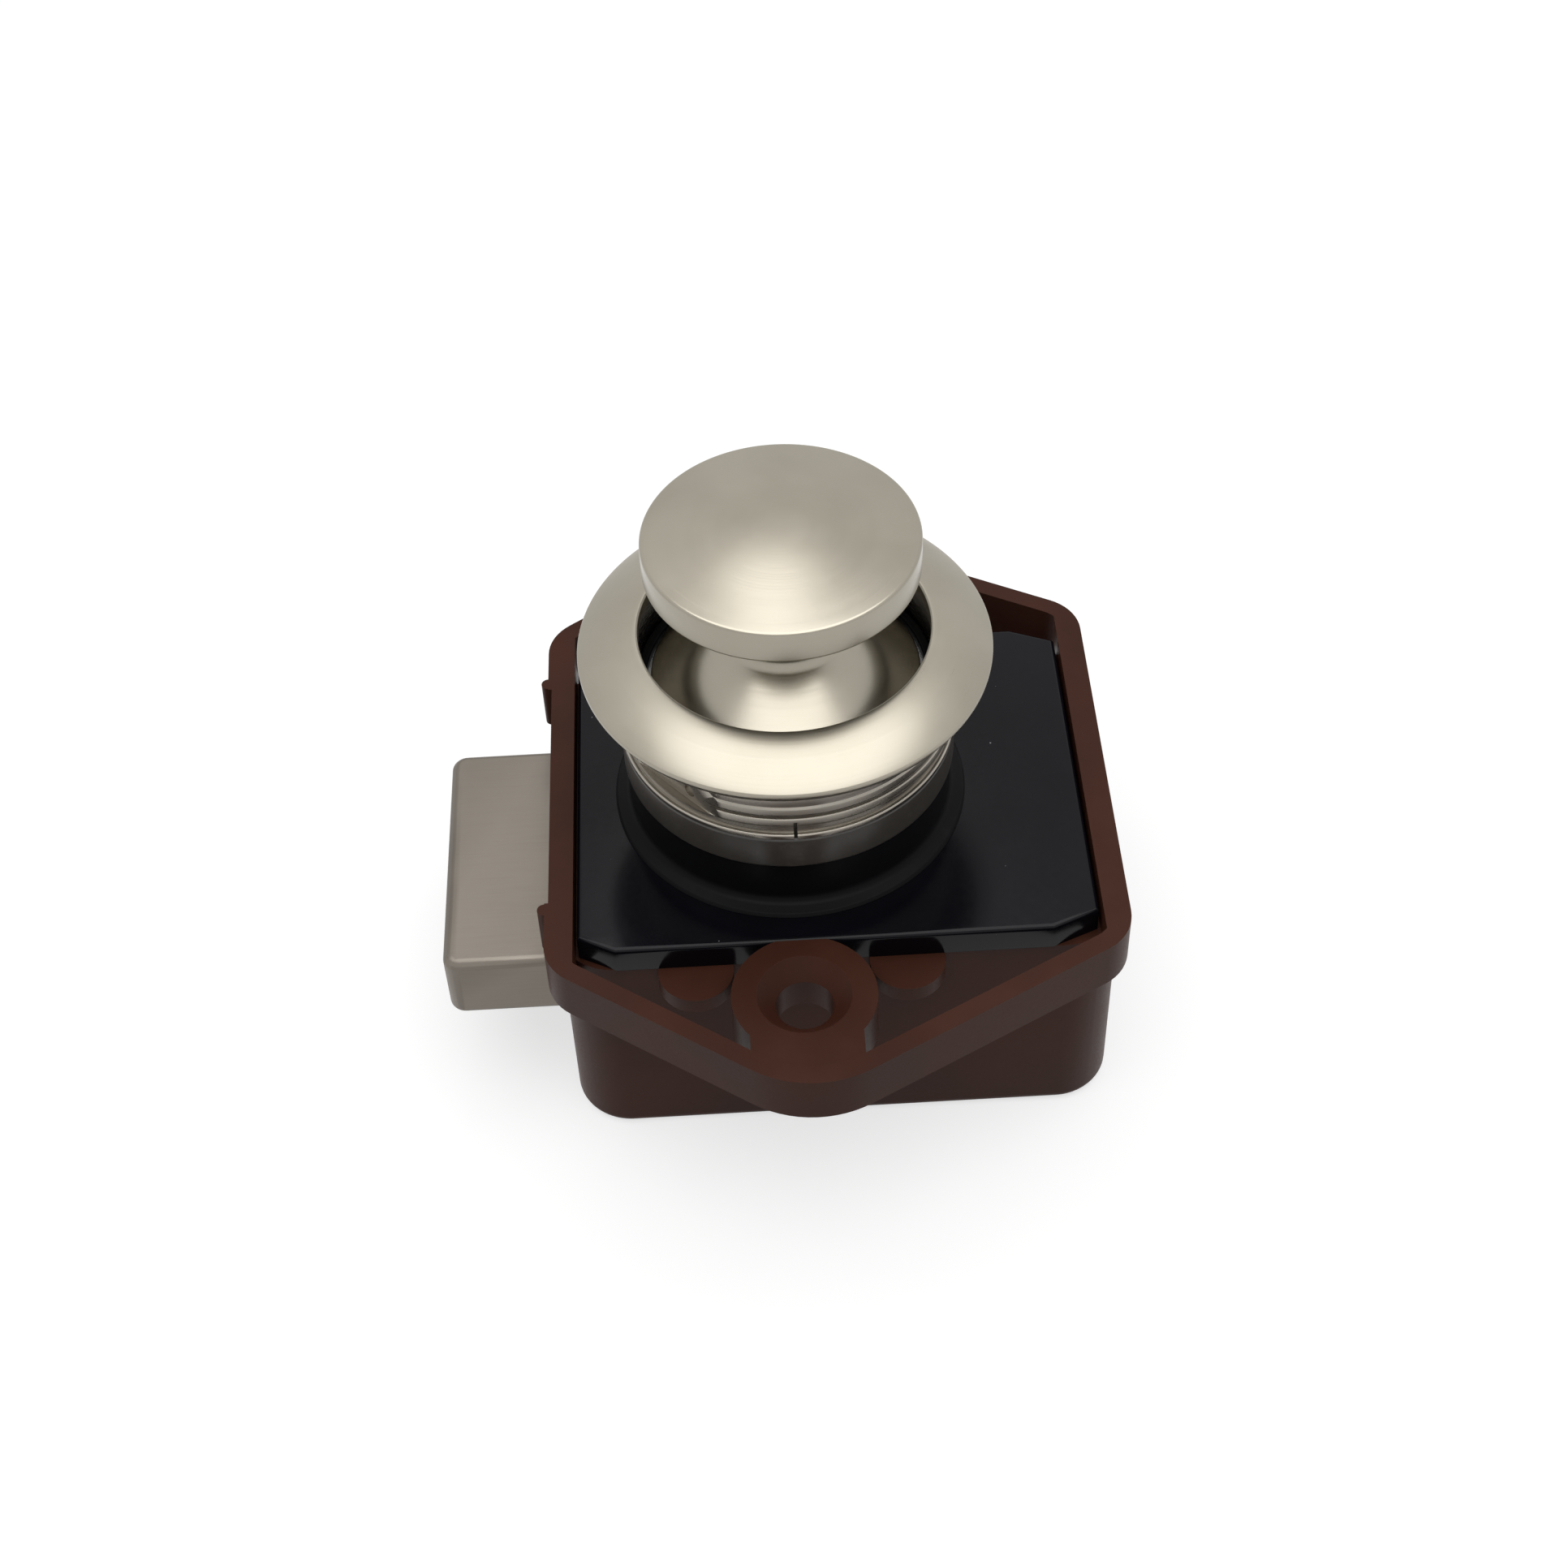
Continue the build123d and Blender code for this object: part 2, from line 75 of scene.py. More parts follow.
TURN = 2 * math.pi

# Points closer than this are one, and two faces within the flat angle are one
MERGE = 0.0002 * MM
FLAT_ANGLE = math.radians(0.4)

# Edges past these angles stay sharp in the shading of a turned piece and of a shell
SMOOTH_ANGLE = math.radians(32)
SHELL_SMOOTH_ANGLE = math.radians(38)

# Edges of a shell past this angle are rounded in a few steps, with the second material
SHARP_ANGLE = math.radians(28)
BEVEL_STEPS = 3
EDGE_SLOT = 1

# Cosine past which a face looks along a direction
FACING = 0.9999

# The sum of two noises that spans a finish's gloss
GLOSS_SPAN = (0.7, 1.3)

log = logging.getLogger("lock_scene")

Piece = bpy.types.Object
Socket = bpy.types.NodeSocket
Colour = tuple[float, float, float]
Span = tuple[float, float]


class Pattern(Enum):
    """How the fine lines of a metal finish run."""

    TURNED = "round the knob axis"
    LENGTHWISE = "along X"
    CAST = "no direction"


class Wear(Enum):
    """Where a finish is rubbed."""

    NOWHERE = "fresh all over, as on flat faces whose edges have a finish of their own"
    POINTED = "outer edges of a densely meshed piece"
    PATCHY = "all over in patches, for the rounded edges of a piece"


# Bench: the few operator calls that every piece needs


def clear_selection() -> None:
    """Leave edit mode and deselect every object."""
    if bpy.context.object is not None and bpy.context.object.mode != "OBJECT":
        bpy.ops.object.mode_set(mode="OBJECT")
    bpy.ops.object.select_all(action="DESELECT")


def take(piece: Piece) -> None:
    """Make one piece the only selected object and the active one.

    Args:
        piece: Object to take.
    """
    clear_selection()
    piece.select_set(True)
    bpy.context.view_layer.objects.active = piece


def open_mesh(piece: Piece) -> None:
    """Open a piece's mesh in edit mode with everything selected.

    Args:
        piece: Object whose mesh is opened.
    """
    take(piece)
    bpy.ops.object.mode_set(mode="EDIT")
    bpy.ops.mesh.select_all(action="SELECT")


def close_mesh() -> None:
    """Go back to object mode."""
    bpy.ops.object.mode_set(mode="OBJECT")


def new_piece(name: str) -> Piece:
    """Name the object that an operator has just added.

    Args:
        name: Name of the object and of its mesh.

    Returns:
        The active object.
    """
    piece = bpy.context.object
    piece.name = name
    piece.data.name = name
    return piece


def settle(piece: Piece) -> None:
    """Put a piece's place, turn and scale into its mesh."""
    take(piece)
    bpy.ops.object.transform_apply(location=True, rotation=True, scale=True)


def apply_modifier(piece: Piece, kind: str, **settings: object) -> None:
    """Add a modifier, set it and apply it.

    Args:
        piece: Object that gets the modifier.
        kind: Blender's name of the modifier type.
        settings: Values of the modifier's properties.
    """
    take(piece)
    modifier = piece.modifiers.new(kind.lower(), kind)
    for key, value in settings.items():
        setattr(modifier, key, value)
    bpy.ops.object.modifier_apply(modifier=modifier.name)


def cut(piece: Piece, tool: Piece) -> None:
    """Take a tool's shape out of a piece and delete the tool.

    Args:
        piece: Object that is cut.
        tool: Closed mesh to take away.
    """
    apply_modifier(piece, "BOOLEAN", object=tool, operation="DIFFERENCE", solver="EXACT")
    bpy.data.objects.remove(tool)


def smooth(piece: Piece, angle: float = SMOOTH_ANGLE) -> None:
    """Shade a piece smooth, with edges sharper than an angle kept."""
    take(piece)
    bpy.ops.object.shade_smooth_by_angle(angle=angle)


def add_box(name: str, centre: Vector, size: Vector, turn: float = 0.0) -> Piece:
    """Box about a centre, turned about the upright axis through the origin.

    Args:
        name: Name of the object.
        centre: Centre in millimetres, before the turn.
        size: Edge lengths in millimetres.
        turn: Angle about Z in radians.

    Returns:
        The box, with its place in its mesh.
    """
    clear_selection()
    bpy.ops.mesh.primitive_cube_add(size=1, location=(0, 0, 0))
    box = new_piece(name)
    place = Matrix.Rotation(turn, 4, "Z") @ Matrix.Translation(centre * MM)
    box.matrix_world = place @ Matrix.Diagonal((*(size * MM), 1))
    settle(box)
    return box


def wind(name: str, wire: float, corners: int, place: Vector, pitch: float, turns: int, steps: int) -> Piece:
    """Wind a thin wire round the Z axis with a Screw modifier.

    Args:
        name: Name of the piece.
        wire: Radius of the wire in millimetres.
        corners: Corners of its cross section.
        place: Middle of the cross section at the start, in millimetres.
        pitch: Rise of one turn in millimetres.
        turns: Number of turns.
        steps: Steps in one turn.

    Returns:
        The winding, open at both ends.
    """
    clear_selection()
    bpy.ops.mesh.primitive_circle_add(
        vertices=corners, radius=wire * MM, location=place * MM, rotation=(math.pi / 2, 0, 0),
    )
    piece = new_piece(name)
    settle(piece)
    apply_modifier(
        piece, "SCREW", axis="Z", angle=TURN, screw_offset=pitch * MM, iterations=turns,
        steps=steps, render_steps=steps, use_merge_vertices=False,
    )
    return piece


@dataclass(frozen=True)
class Corner:
    """One corner of a turned outline: its radius, its level and the round on it."""

    radius: float
    level: float
    round: float = 0.0

    def point(self) -> Vector:
        """Place of the corner in the XZ plane, in millimetres."""
        return Vector((self.radius, 0, self.level))


@dataclass(frozen=True)
class Turning:
    """An outline that is drawn vertex by vertex and spun round the knob axis.

    The outline is closed unless both its ends lie on the axis. A round takes at most round_share of
    the edges next to it.
    """

    corners: tuple[Corner, ...]
    steps: int = 168
    arc_steps: int = 5
    round_share: float = 0.49

    def rounded(self, index: int) -> list[Vector]:
        """Points that stand for one corner.

        Args:
            index: Number of the corner in the outline.

        Returns:
            The corner itself, or the points of its arc.
        """
        corner = self.corners[index]
        here = corner.point()
        if corner.round <= 0:
            return [here]
        before = self.corners[index - 1].point() - here
        after = self.corners[(index + 1) % len(self.corners)].point() - here
        half = before.angle(after) / 2
        longest = self.round_share * min(before.length, after.length)
        reach = min(corner.round / math.tan(half), longest)
        centre = here + (before.normalized() + after.normalized()).normalized() * reach / math.cos(half)
        start = here + before.normalized() * reach - centre
        end = here + after.normalized() * reach - centre
        shares = [step / self.arc_steps for step in range(self.arc_steps + 1)]
        return [centre + start.slerp(end, share).normalized() * start.length for share in shares]

    def outline(self) -> list[Vector]:
        """All points of the outline.

        Returns:
            The points in millimetres, the first again at the end of a closed outline.
        """
        points = [point for index in range(len(self.corners)) for point in self.rounded(index)]
        closed = self.corners[0].radius > 0 or self.corners[-1].radius > 0
        return points + points[:1] if closed else points

    def spin(self, name: str) -> Piece:
        """Draw the outline and spin it.

        Args:
            name: Name of the piece.

        Returns:
            The turned piece.
        """
        clear_selection()
        points = [point * MM for point in self.outline()]
        bpy.ops.mesh.primitive_plane_add(size=1, location=(0, 0, 0))
        piece = new_piece(name)
        open_mesh(piece)
        bpy.ops.mesh.select_mode(type="VERT")
        bpy.ops.mesh.merge(type="CENTER")
        bpy.ops.transform.translate(value=points[0])
        for start, end in zip(points, points[1:]):
            bpy.ops.mesh.extrude_region_move(TRANSFORM_OT_translate={"value": end - start})
        bpy.ops.mesh.select_all(action="SELECT")
        bpy.ops.mesh.remove_doubles(threshold=MERGE)
        bpy.ops.mesh.spin(steps=self.steps, angle=TURN, center=(0, 0, 0), axis=(0, 0, 1))
        bpy.ops.mesh.select_all(action="SELECT")
        bpy.ops.mesh.remove_doubles(threshold=MERGE)
        bpy.ops.mesh.normals_make_consistent(inside=False)
        close_mesh()
        return piece


def arch(start: Corner, end: Corner, bulge: float, count: int) -> tuple[Corner, ...]:
    """Corners on a round crown between two corners, without the two themselves.

    Args:
        start: First end of the crown.
        end: Last end of the crown.
        bulge: Height of the crown over the straight line between them.
        count: Number of corners.

    Returns:
        The corners in order from start to end.
    """
    first, last = start.point(), end.point()
    span = last - first
    outward = Vector((-span.z, 0, span.x)).normalized()
    if outward.z < 0:
        outward = -outward
    radius = (span.length**2 / 4 + bulge**2) / (2 * bulge)
    corners = []
    for step in range(1, count + 1):
        share = step / (count + 1)
        off = (share - 0.5) * span.length
        height = math.sqrt(radius**2 - off**2) - radius + bulge
        place = first + span * share + outward * height
        corners.append(Corner(place.x, place.z))
    return tuple(corners)


# Finishes


class Wiring:
    """Adds and joins the nodes of one material or of the surroundings."""

    def __init__(self, owner: bpy.types.Material | bpy.types.World, shader: str = "Principled BSDF") -> None:
        """Open the nodes of a new material or world.

        Args:
            owner: What carries the nodes.
            shader: Name of its shader node.
        """
        owner.use_nodes = True
        self.owner = owner
        self.tree = owner.node_tree
        self.shader = self.tree.nodes[shader]

    def add(self, kind: str, **settings: object) -> bpy.types.Node:
        """Add a node and set its properties.

        Args:
            kind: Blender's name of the node type.
            settings: Values of the node's properties.

        Returns:
            The node.
        """
        node = self.tree.nodes.new(kind)
        for key, value in settings.items():
            setattr(node, key, value)
        return node

    def join(self, source: Socket, target: Socket) -> None:
        """Link two sockets."""
        self.tree.links.new(source, target)

    def place(self, scale: tuple[float, float, float] = (1, 1, 1)) -> Socket:
        """Object coordinates in millimetres.

        Args:
            scale: How many times finer the pattern gets along each axis.

        Returns:
            The vector socket.
        """
        mapping = self.add("ShaderNodeMapping", vector_type="TEXTURE")
        mapping.inputs["Scale"].default_value = tuple(MM / value for value in scale)
        self.join(self.add("ShaderNodeTexCoord").outputs["Object"], mapping.inputs["Vector"])
        return mapping.outputs["Vector"]

    def round_place(self, fineness: float) -> Socket:
        """Vector of distance from the knob axis and level, for lines that a lathe leaves.

        Args:
            fineness: Lines per millimetre, roughly.

        Returns:
            The vector socket.
        """
        split = self.add("ShaderNodeSeparateXYZ")
        self.join(self.place((fineness, fineness, fineness)), split.inputs[0])
        flat = self.add("ShaderNodeCombineXYZ")
        self.join(split.outputs["X"], flat.inputs["X"])
        self.join(split.outputs["Y"], flat.inputs["Y"])
        length = self.add("ShaderNodeVectorMath", operation="LENGTH")
        self.join(flat.outputs[0], length.inputs[0])
        joined = self.add("ShaderNodeCombineXYZ")
        self.join(length.outputs["Value"], joined.inputs["X"])
        self.join(split.outputs["Z"], joined.inputs["Z"])
        return joined.outputs[0]

    def noise(self, vector: Socket, scale: float, detail: float) -> Socket:
        """Noise between 0 and 1.

        Args:
            vector: Coordinates in millimetres.
            scale: Features per millimetre.
            detail: Octaves of finer noise.

        Returns:
            The factor socket.
        """
        node = self.add("ShaderNodeTexNoise")
        node.inputs["Scale"].default_value = scale
        node.inputs["Detail"].default_value = detail
        self.join(vector, node.inputs["Vector"])
        return node.outputs["Fac"]

    def specks(self, vector: Socket, scale: float, share: float) -> Socket:
        """Small round specks, 1 inside and 0 outside.

        Args:
            vector: Coordinates in millimetres.
            scale: Cells per millimetre.
            share: Radius of a speck as a share of its cell; the inner part up to 0.6 of it is full.

        Returns:
            The factor socket.
        """
        node = self.add("ShaderNodeTexVoronoi", feature="F1")
        node.inputs["Scale"].default_value = scale
        self.join(vector, node.inputs["Vector"])
        return self.stretch(node.outputs["Distance"], (share, share * 0.6))

    def stretch(self, value: Socket, source: Span, target: Span = (0, 1)) -> Socket:
        """Map a range of values to another range, clamped.

        Args:
            value: Socket that is mapped.
            source: Values that become the two of target.
            target: Results at the two of source.

        Returns:
            The mapped socket.
        """
        node = self.add("ShaderNodeMapRange")
        self.join(value, node.inputs["Value"])
        for socket, number in zip(("From Min", "From Max", "To Min", "To Max"), (*source, *target)):
            node.inputs[socket].default_value = number
        return node.outputs["Result"]

    def sum(self, first: Socket, second: Socket) -> Socket:
        """Add two values.

        Args:
            first: Socket of one value.
            second: Socket of the other.

        Returns:
            The socket of their sum.
        """
        node = self.add("ShaderNodeMath", operation="ADD")
        self.join(first, node.inputs[0])
        self.join(second, node.inputs[1])
        return node.outputs[0]

    def blend(self, factor: Socket, low: Colour | Socket, high: Colour) -> Socket:
        """Mix two colours.

        Args:
            factor: 0 for low and 1 for high.
            low: Colour or colour socket.
            high: Colour.

        Returns:
            The colour socket.
        """
        node = self.add("ShaderNodeMix", data_type="RGBA")
        # The Mix node's colour sockets share their names with those of other types, so they go by number
        low_socket, high_socket, result = node.inputs[6], node.inputs[7], node.outputs[2]
        self.join(factor, node.inputs["Factor"])
        if isinstance(low, tuple):
            low_socket.default_value = (*low, 1)
        else:
            self.join(low, low_socket)
        high_socket.default_value = (*high, 1)
        return result

    def edges(self, span: Span) -> Socket:
        """Share of wear, 0 on flat faces and 1 on outer edges.

        Args:
            span: Pointiness where the wear starts and where it is full.

        Returns:
            The factor socket.
        """
        return self.stretch(self.add("ShaderNodeNewGeometry").outputs["Pointiness"], span)

    def seen(self) -> Socket:
        """Whether a ray comes from the camera, from a reflection or from what shines through.

        Returns:
            A socket that is 1 or more if so, and 0 if not.
        """
        path = self.add("ShaderNodeLightPath")
        both = self.sum(path.outputs["Is Camera Ray"], path.outputs["Is Glossy Ray"])
        return self.sum(both, path.outputs["Is Transmission Ray"])

    def bump(self, height: Socket, depth: float) -> None:
        """Add relief on top of the relief that is there.

        Args:
            height: Socket of the relief.
            depth: Depth in millimetres of a step of 1.
        """
        node = self.add("ShaderNodeBump")
        node.inputs["Distance"].default_value = depth * MM
        self.join(height, node.inputs["Height"])
        before = self.shader.inputs["Normal"].links
        if before:
            self.join(before[0].from_socket, node.inputs["Normal"])
        self.join(node.outputs["Normal"], self.shader.inputs["Normal"])

    def set(self, **values: object) -> None:
        """Set constants on the shader's own sockets.

        Args:
            values: Value of each socket, with _ for a blank in its name.
        """
        for key, value in values.items():
            self.shader.inputs[key.replace("_", " ")].default_value = value

    def feed(self, socket: str, source: Socket) -> None:
        """Feed a socket of the shader."""
        self.join(source, self.shader.inputs[socket])


@dataclass(frozen=True)
class MetalFinish:
    """Metal with fine tool lines and a cloudy gloss, brighter where its edges are worn."""

    name: str
    slot: str
    light: Colour
    dark: Colour
    gloss: Span
    pattern: Pattern
    line_depth: float
    grain_depth: float
    clouds_per_mm: float = 0.16
    cloud_span: Span = (0.35, 0.65)
    lines_per_mm: float = 7.0
    long_lines_per_mm: float = 0.25
    grain_per_mm: float = 14.0
    wear: Wear = Wear.POINTED
    wear_span: Span = (0.52, 0.6)
    wear_gain: float = 1.12

    def lines(self, wiring: Wiring) -> Socket:
        """Tool lines of the pattern.

        Args:
            wiring: Nodes of the material.

        Returns:
            The socket of their height, between 0 and 1.
        """
        fine = self.lines_per_mm
        if self.pattern is Pattern.TURNED:
            return wiring.noise(wiring.round_place(fine), 1, detail=2)
        if self.pattern is Pattern.LENGTHWISE:
            return wiring.noise(wiring.place((self.long_lines_per_mm, fine, fine)), 1, detail=3)
        return wiring.noise(wiring.place(), fine, detail=3)

    def make(self) -> bpy.types.Material:
        """Build the material.

        Returns:
            The material.
        """
        wiring = Wiring(bpy.data.materials.new(self.name))
        wiring.set(Metallic=1.0)
        cloud = wiring.noise(wiring.place(), self.clouds_per_mm, detail=3)
        colour = wiring.blend(wiring.stretch(cloud, self.cloud_span), self.dark, self.light)
        if self.wear is Wear.POINTED:
            worn = tuple(value * self.wear_gain for value in self.light)
            colour = wiring.blend(wiring.edges(self.wear_span), colour, worn)
        wiring.feed("Base Color", colour)
        lines = self.lines(wiring)
        wiring.feed("Roughness", wiring.stretch(wiring.sum(cloud, lines), GLOSS_SPAN, self.gloss))
        wiring.bump(wiring.noise(wiring.place(), self.grain_per_mm, detail=2), self.grain_depth)
        wiring.bump(lines, self.line_depth)
        return wiring.owner


@dataclass(frozen=True)
class PlasticFinish:
    """Moulded plastic: its colour drifts, its skin has a grain, its edges are rubbed."""

    name: str
    slot: str
    light: Colour
    dark: Colour
    worn: Colour
    gloss: Span
    specular: float
    grain_per_mm: float
    grain_depth: float
    swell_depth: float
    clouds_per_mm: float = 0.11
    cloud_span: Span = (0.38, 0.62)
    swells_per_mm: float = 0.22
    dust: float = 0.0
    dust_per_mm: float = 0.45
    dust_colour: Colour = (0.35, 0.35, 0.36)
    wear: Wear = Wear.POINTED
    patches_per_mm: float = 1.4
    patch_span: Span = (0.36, 0.68)
    wear_span: Span = (0.5, 0.62)
    pointed_span: Span = (0.72, 1.5)

    def rubbed(self, wiring: Wiring, place: Socket) -> Socket:
        """Share of rubbed skin.

        Args:
            wiring: Nodes of the material.
            place: Coordinates in millimetres.

        Returns:
            The factor socket, 0 where the skin is fresh.
        """
        patches = wiring.noise(place, self.patches_per_mm, detail=3)
        if self.wear is Wear.PATCHY:
            return wiring.stretch(patches, self.patch_span)
        return wiring.stretch(wiring.sum(wiring.edges(self.wear_span), patches), self.pointed_span)

    def make(self) -> bpy.types.Material:
        """Build the material.

        Returns:
            The material.
        """
        wiring = Wiring(bpy.data.materials.new(self.name))
        wiring.set(Specular_IOR_Level=self.specular)
        place = wiring.place()
        cloud = wiring.noise(place, self.clouds_per_mm, detail=4)
        colour = wiring.blend(wiring.stretch(cloud, self.cloud_span), self.dark, self.light)
        if self.wear is not Wear.NOWHERE:
            colour = wiring.blend(self.rubbed(wiring, place), colour, self.worn)
        if self.dust > 0:
            specks = wiring.specks(place, self.dust_per_mm, self.dust)
            colour = wiring.blend(specks, colour, self.dust_colour)
        wiring.feed("Base Color", colour)
        grain = wiring.noise(place, self.grain_per_mm, detail=3)
        wiring.feed("Roughness", wiring.stretch(wiring.sum(cloud, grain), GLOSS_SPAN, self.gloss))
        wiring.bump(wiring.noise(place, self.swells_per_mm, detail=1), self.swell_depth)
        wiring.bump(grain, self.grain_depth)
        return wiring.owner


Finish = MetalFinish | PlasticFinish

CASE_BROWN = PlasticFinish(
    "case_brown", "case_plastic", light=(0.053, 0.0185, 0.0108), dark=(0.042, 0.0142, 0.0082),
    worn=(0.078, 0.033, 0.022), gloss=(0.36, 0.46), specular=0.085, grain_per_mm=5.5,
    grain_depth=0.006, swell_depth=0.006, wear=Wear.NOWHERE,
)
CASE_EDGE = replace(CASE_BROWN, name="case_edge", wear=Wear.PATCHY)
BLACK_GLOSS = PlasticFinish(
    "black_gloss", "black_gloss", light=(0.0044, 0.0042, 0.0064), dark=(0.0034, 0.0032, 0.005),
    worn=(0.010, 0.010, 0.013), gloss=(0.14, 0.2), specular=0.15, grain_per_mm=1.6,
    grain_depth=0.0005, swell_depth=0.0012, dust=0.035, wear=Wear.NOWHERE,
)
BLACK_EDGE = replace(
    BLACK_GLOSS, name="black_edge", gloss=(0.42, 0.5), specular=0.08, dust=0.0, wear=Wear.PATCHY,
    worn=(0.0055, 0.0055, 0.0075),
)
NICKEL_SATIN = MetalFinish(
    "nickel_satin", "satin_nickel", light=(0.355, 0.328, 0.272), dark=(0.33, 0.304, 0.25),
    gloss=(0.2, 0.26), pattern=Pattern.TURNED, line_depth=0.0011, grain_depth=0.0007, wear=Wear.NOWHERE,
)
NICKEL_SOFT = replace(NICKEL_SATIN, name="nickel_soft", gloss=(0.27, 0.34))
NICKEL_SLEEVE = MetalFinish(
    "nickel_sleeve", "satin_nickel", light=(0.36, 0.333, 0.29), dark=(0.31, 0.286, 0.248),
    gloss=(0.24, 0.32), pattern=Pattern.TURNED, line_depth=0.001, grain_depth=0.0004,
)
NICKEL_FLAT = replace(NICKEL_SLEEVE, name="nickel_flat", pattern=Pattern.CAST, wear=Wear.NOWHERE)
BOLT_CAST = MetalFinish(
    "bolt_cast", "bolt_metal", light=(0.172, 0.153, 0.131), dark=(0.148, 0.131, 0.111),
    gloss=(0.38, 0.5), pattern=Pattern.LENGTHWISE, line_depth=0.0012, grain_depth=0.0022,
)
COLLAR_BLACK = PlasticFinish(
    "collar_black", "black_gloss", light=(0.0062, 0.0062, 0.007), dark=(0.005, 0.005, 0.0056),
    worn=(0.009, 0.009, 0.010), gloss=(0.34, 0.42), specular=0.06, grain_per_mm=1.6,
    grain_depth=0.0006, swell_depth=0.0012,
)
# The adjusting ring is black gloss plastic; its grey-brown colour is a painted reflection of the bright
# floor and metal mirrored in its face
RING_PAINTED_REFLECTION = PlasticFinish(
    "ring_painted_reflection", "black_gloss", light=(0.055, 0.0485, 0.0415), dark=(0.045, 0.0395, 0.034),
    worn=(0.12, 0.107, 0.093), gloss=(0.3, 0.38), specular=0.6, grain_per_mm=1.6,
    grain_depth=0.0006, swell_depth=0.0012,
)
STEEL_PLATED = MetalFinish(
    "steel_plated", "steel", light=(0.55, 0.56, 0.57), dark=(0.47, 0.48, 0.49),
    gloss=(0.24, 0.36), pattern=Pattern.CAST, line_depth=0.0012, grain_depth=0.0008,
)
SPRING_WIRE = MetalFinish(
    "spring_wire", "spring_steel", light=(0.42, 0.42, 0.43), dark=(0.33, 0.33, 0.34),
    gloss=(0.2, 0.32), pattern=Pattern.CAST, line_depth=0.0008, grain_depth=0.0006,
)
INNER_PLASTIC = PlasticFinish(
    "inner_plastic", "inner_plastic", light=(0.62, 0.59, 0.52), dark=(0.55, 0.52, 0.45),
    worn=(0.7, 0.68, 0.62), gloss=(0.35, 0.45), specular=0.5, grain_per_mm=4.0,
    grain_depth=0.004, swell_depth=0.01,
)


class Workshop:
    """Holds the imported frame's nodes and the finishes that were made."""

    def __init__(self, frame: dict) -> None:
        """Keep the frame.
        """
        self.nodes = frame["nodes"]
        self.materials: dict[str, bpy.types.Material] = {}

    def material(self, finish: Finish) -> bpy.types.Material:
        """Material of a finish, made once.

        Args:
            finish: Finish that is asked for.

        Returns:
            The material.
        """
        if finish.name not in self.materials:
            self.materials[finish.name] = finish.make()
        return self.materials[finish.name]

    def dress(self, piece: Piece, finish: Finish) -> None:
        """Give a piece one finish all over.

        Args:
            piece: Piece that is dressed.
            finish: Its finish.
        """
        piece.data.materials.clear()
        piece.data.materials.append(self.material(finish))

    def dress_node(self, node: str, finish: Finish) -> None:
        """Give a CAD node's own slots a finish and report it.

        Args:
            node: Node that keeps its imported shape.
            finish: Its finish.
        """
        for slot in self.nodes[node].material_slots:
            slot.material = self.material(finish)
        log.info("%s: dressed as packed", node)

    def dress_faces(self, piece: Piece, finish: Finish, chosen: Callable[[Vector, Vector], bool]) -> None:
        """Give some faces of a piece a second finish.

        Args:
            piece: Piece that already has its main finish.
            finish: Finish of the chosen faces.
            chosen: Test of a face's centre in millimetres and its normal.
        """
        piece.data.materials.append(self.material(finish))
        index = len(piece.data.materials) - 1
        for face in piece.data.polygons:
            if chosen(face.center / MM, face.normal):
                face.material_index = index

    def fit(self, piece: Piece, body: str, *nodes: str) -> None:
        """Let a piece ride on a body in place of CAD nodes and report it.

        Args:
            piece: Finished piece.
            body: Body that carries it.
            nodes: CAD nodes that it stands for.
        """
        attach(piece, body)
        if nodes:
            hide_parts(*nodes)
        log.info("%s: %d faces, on %s", piece.name, len(piece.data.polygons), body)

    def weigh_edges(self, piece: Piece, reach: float) -> None:
        """Mark the sharp edges up to a plane across X, after a cut along that plane.

        Args:
            piece: Piece in object mode.
            reach: Place of the plane in millimetres.
        """
        open_mesh(piece)
        bpy.ops.mesh.bisect(plane_co=(reach * MM, 0, 0), plane_no=(1, 0, 0))
        bpy.ops.mesh.select_all(action="DESELECT")
        bpy.ops.mesh.select_mode(type="EDGE")
        bpy.ops.mesh.edges_select_sharp(sharpness=SHARP_ANGLE)
        close_mesh()
        mesh = piece.data
        weights = mesh.attributes.new("bevel_weight_edge", "FLOAT", "EDGE")
        for edge in mesh.edges:
            middle = sum((mesh.vertices[index].co for index in edge.vertices), Vector()) / 2
            weights.data[edge.index].value = float(edge.select and middle.x < reach * MM)

    def shell(self, node: str, name: str, edge: float, finish: Finish, edge_finish: Finish,
              reach: float | None = None) -> Piece:
        """Copy of a CAD node, dressed, with its loose triangles merged and its edges rounded.

        Args:
            node: Node that is copied.
            name: Name of the piece.
            edge: Width of the round on the sharp edges, in millimetres.
            finish: Finish of the faces.
            edge_finish: Finish of the rounded edges.
            reach: Where the rounding stops along X, in millimetres; without it all edges are rounded.

        Returns:
            The piece.
        """
        clear_selection()
        piece = bpy.data.objects.new(name, self.nodes[node].data.copy())
        piece.data.name = name
        bpy.context.scene.collection.objects.link(piece)
        open_mesh(piece)
        bpy.ops.mesh.customdata_custom_splitnormals_clear()
        bpy.ops.mesh.remove_doubles(threshold=MERGE)
        bpy.ops.mesh.dissolve_limited(angle_limit=FLAT_ANGLE)
        close_mesh()
        self.dress(piece, finish)
        piece.data.materials.append(self.material(edge_finish))
        if reach is not None:
            self.weigh_edges(piece, reach)
        smooth(piece, SHELL_SMOOTH_ANGLE)
        apply_modifier(
            piece, "BEVEL", width=edge * MM, segments=BEVEL_STEPS,
            limit_method="ANGLE" if reach is None else "WEIGHT", angle_limit=SHARP_ANGLE,
            use_clamp_overlap=True, miter_outer="MITER_ARC", harden_normals=True, material=EDGE_SLOT,
        )
        return piece


# Sub-assemblies


